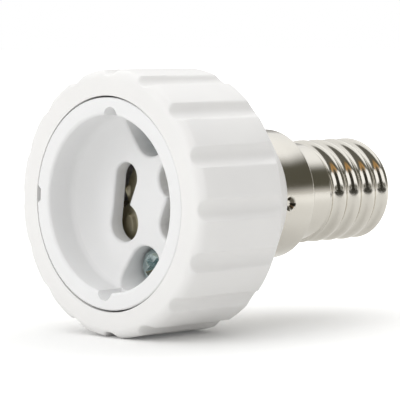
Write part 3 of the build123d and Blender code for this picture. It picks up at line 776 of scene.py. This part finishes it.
def studio_paper():
    """White paper that keeps the shadow, and fades to full white away from the part."""
    material, tree, out = new_material("white_studio_paper")
    coords = add_node(tree, "ShaderNodeTexCoord")
    away = add_node(tree, "ShaderNodeVectorMath", {1: FOOT}, {0: coords.outputs["Object"]},
                    operation="DISTANCE")
    near = add_node(tree, "ShaderNodeMapRange", NEAR_GLOW, {"Value": away.outputs["Value"]},
                    interpolation_type="SMOOTHSTEP")
    far = add_node(tree, "ShaderNodeMapRange", FAR_GLOW, {"Value": away.outputs["Value"]},
                   interpolation_type="SMOOTHSTEP")
    fade = add_node(tree, "ShaderNodeMath", {}, {0: near.outputs["Result"], 1: far.outputs["Result"]},
                    operation="ADD")
    shine = add_node(tree, "ShaderNodeMath", {}, {0: fade.outputs[0], 1: shown_ray(tree)},
                     operation="MULTIPLY")
    glow = add_node(tree, "ShaderNodeEmission", {"Color": (1, 1, 1, 1)}, {"Strength": shine.outputs[0]})
    paper = add_node(tree, "ShaderNodeBsdfDiffuse", {"Color": srgb("#f1f1f0")})
    both = add_node(tree, "ShaderNodeAddShader", {}, {0: paper.outputs[0], 1: glow.outputs[0]})
    tree.links.new(both.outputs[0], out.inputs["Surface"])
    return material


floor_material = studio_paper()
bpy.ops.object.select_all(action="DESELECT")
bpy.ops.mesh.primitive_plane_add(size=FLOOR_SIZE, location=(0, 0, 0))
floor = bpy.context.object
floor.name = "floor"
dress(floor, floor_material)

# World: white where it is seen or mirrored, and elsewhere a soft light that is strongest overhead
world = bpy.data.worlds.new("studio")
bpy.context.scene.world = world
world.use_nodes = True
tree = world.node_tree
tree.nodes.clear()
coords = add_node(tree, "ShaderNodeTexCoord")
direction = add_node(tree, "ShaderNodeSeparateXYZ", {}, {0: coords.outputs["Generated"]})
sky = add_node(tree, "ShaderNodeMapRange", {"To Min": LIGHT_AT_HORIZON, "To Max": LIGHT_OVERHEAD},
               {"Value": direction.outputs["Z"]})
strength = add_node(tree, "ShaderNodeMapRange", {"To Max": 1.0},
                    {"Value": shown_ray(tree), "To Min": sky.outputs["Result"]})
backdrop = add_node(tree, "ShaderNodeBackground", {"Color": (1, 1, 1, 1)},
                    {"Strength": strength.outputs["Result"]})
add_node(tree, "ShaderNodeOutputWorld", {}, {"Surface": backdrop.outputs[0]})


# Cards round the part, which give the polished cap its dark and bright bands
def card_paint(name, tone, strength, border, cover=1.0):
    """Even glow of a card, which fades out over a border that is a share of its width and height."""
    material, tree, out = new_material(name)
    coords = add_node(tree, "ShaderNodeTexCoord")
    middle = add_node(tree, "ShaderNodeVectorMath", {}, {0: coords.outputs["Object"]}, operation="ABSOLUTE")
    sides = add_node(tree, "ShaderNodeSeparateXYZ", {}, {0: middle.outputs["Vector"]})
    wide, high = (add_node(tree, "ShaderNodeMapRange", {"From Min": 0.5 - border, "From Max": 0.5},
                           {"Value": sides.outputs[axis]}, interpolation_type="SMOOTHSTEP") for axis in "XY")
    edge = add_node(tree, "ShaderNodeMath", {}, {0: wide.outputs["Result"], 1: high.outputs["Result"]},
                    operation="MAXIMUM")
    sheer = add_node(tree, "ShaderNodeMath", {1: 1 - cover}, {0: edge.outputs[0]}, operation="MAXIMUM")
    glow = add_node(tree, "ShaderNodeEmission", {"Color": tone, "Strength": strength})
    clear = add_node(tree, "ShaderNodeBsdfTransparent")
    mixed = add_node(tree, "ShaderNodeMixShader", {}, {0: sheer.outputs[0], 1: glow.outputs[0],
                                                       2: clear.outputs[0]})
    tree.links.new(mixed.outputs[0], out.inputs["Surface"])
    return material


def studio_card(name, paint, azimuth, elevation, wide, tall, away, mirrored_only=True):
    """A card that faces the cap, with its place, from +X towards +Y, and its size in degrees from there."""
    turn, rise = math.radians(azimuth), math.radians(elevation)
    middle = Vector((math.cos(rise) * math.cos(turn), math.cos(rise) * math.sin(turn), math.sin(rise)))
    bpy.ops.object.select_all(action="DESELECT")
    bpy.ops.mesh.primitive_plane_add(size=1, location=cap_middle + middle * away,
                                     rotation=middle.to_track_quat("Z", "Y").to_euler())
    card = bpy.context.object
    card.name = name
    card.scale = (2 * away * math.tan(math.radians(wide / 2)), 2 * away * math.tan(math.radians(tall / 2)), 1)
    card.visible_camera = False
    card.visible_diffuse = not mirrored_only
    card.visible_shadow = not mirrored_only
    dress(card, paint)
    return card


cap_middle = Vector((0, face_y + CAP_MIDDLE, axis_z))
wall_paint = card_paint("wall_card", (0.1, 0.094, 0.07, 1), 1.0, border=0.3)
dark_paint = card_paint("dark_card", (0.115, 0.108, 0.08, 1), 1.0, border=0.22)
left_paint = card_paint("left_card", (0.5, 0.49, 0.43, 1), 1.0, border=0.22)
ceiling_paint = card_paint("ceiling_card", (0.13, 0.125, 0.105, 1), 1.0, border=0.2)
grey_paint = card_paint("grey_card", (0.42, 0.41, 0.4, 1), 1.0, border=0.35)
beige_paint = card_paint("beige_card", (0.8, 0.78, 0.75, 1), 1.0, border=0.1)
sheer_paint = card_paint("sheer_card", (0.6, 0.585, 0.56, 1), 1.0, border=0.05, cover=0.5)
black_paint = card_paint("black_card", (0.03, 0.028, 0.02, 1), 1.0, border=0.02)
white_paint = card_paint("white_card", (1, 1, 1, 1), 1.3, border=0.05)
overhead_paint = card_paint("overhead_card", (1, 1, 1, 1), 1.18, border=0.3)
amber_paint = card_paint("amber_card", srgb("#c89a5c"), 1.0, border=0.35)
# Each card's azimuth, elevation, width and height
studio_card("right_wall", wall_paint, 60, 22, 72, 46, away=0.75, mirrored_only=False)
studio_card("right_backing", beige_paint, 60, 4, 100, 24, away=1.2)
studio_card("front_wall", dark_paint, -22, 28, 112, 72, away=1.2)
studio_card("left_wall", left_paint, -140, 10, 64, 50, away=0.9)
studio_card("far_wall", grey_paint, 140, 12, 50, 30, away=1.2)
studio_card("ceiling", ceiling_paint, -60, 60, 110, 44, away=1.3)
studio_card("overhead", overhead_paint, 85, 58, 80, 50, away=1.3)
studio_card("camera_wall", black_paint, -54, 8, 40, 34, away=0.85)
studio_card("window", white_paint, -4, 23, 56, 30, away=0.8)
studio_card("amber_lamp", amber_paint, -38, 37, 46, 16, away=0.78)
# A black strip that lies on the floor, in front of the cap, and a sheer beige sheet under it all
black_strip = studio_card("black_strip", black_paint, STRIP_AZIMUTH, 0, 95, 84, away=0.555)
black_strip.rotation_euler = (0, 0, math.radians(STRIP_AZIMUTH - 90))
black_strip.location.z = STRIP_HEIGHT
studio_card("beige_sheet", sheer_paint, 0, -90, 177, 177, away=axis_z - BEIGE_SHEET_HEIGHT)


def softbox(name, place, size, power):
    """A square soft light that faces the part. The polished cap mirrors the cards and not the lamps."""
    light = bpy.data.lights.new(name, "AREA")
    light.size = size
    light.energy = power
    lamp = bpy.data.objects.new(name, light)
    lamp.location = place
    lamp.rotation_mode = "QUATERNION"
    lamp.rotation_quaternion = (Vector(LIGHT_TARGET) - Vector(place)).to_track_quat("-Z", "Y")
    lamp.visible_glossy = False
    bpy.context.scene.collection.objects.link(lamp)


softbox("key_softbox", (-0.2, -1.0, 0.6), size=0.8, power=3.4)
softbox("back_softbox", (-0.3, 0.6, 0.9), size=0.9, power=2.0)

# Camera, at the photograph's view
camera = bpy.data.cameras.new("camera")
camera.lens = CAMERA_LENS
camera.sensor_width = CAMERA_SENSOR
camera.clip_start = CAMERA_NEAREST
camera_object = bpy.data.objects.new("camera", camera)
camera_object.location = CAMERA_PLACE
camera_object.rotation_mode = "QUATERNION"
camera_object.rotation_quaternion = Vector(CAMERA_LOOK).to_track_quat("-Z", "Y")
bpy.context.scene.collection.objects.link(camera_object)
bpy.context.scene.camera = camera_object
bpy.context.scene.view_settings.view_transform = "Standard"
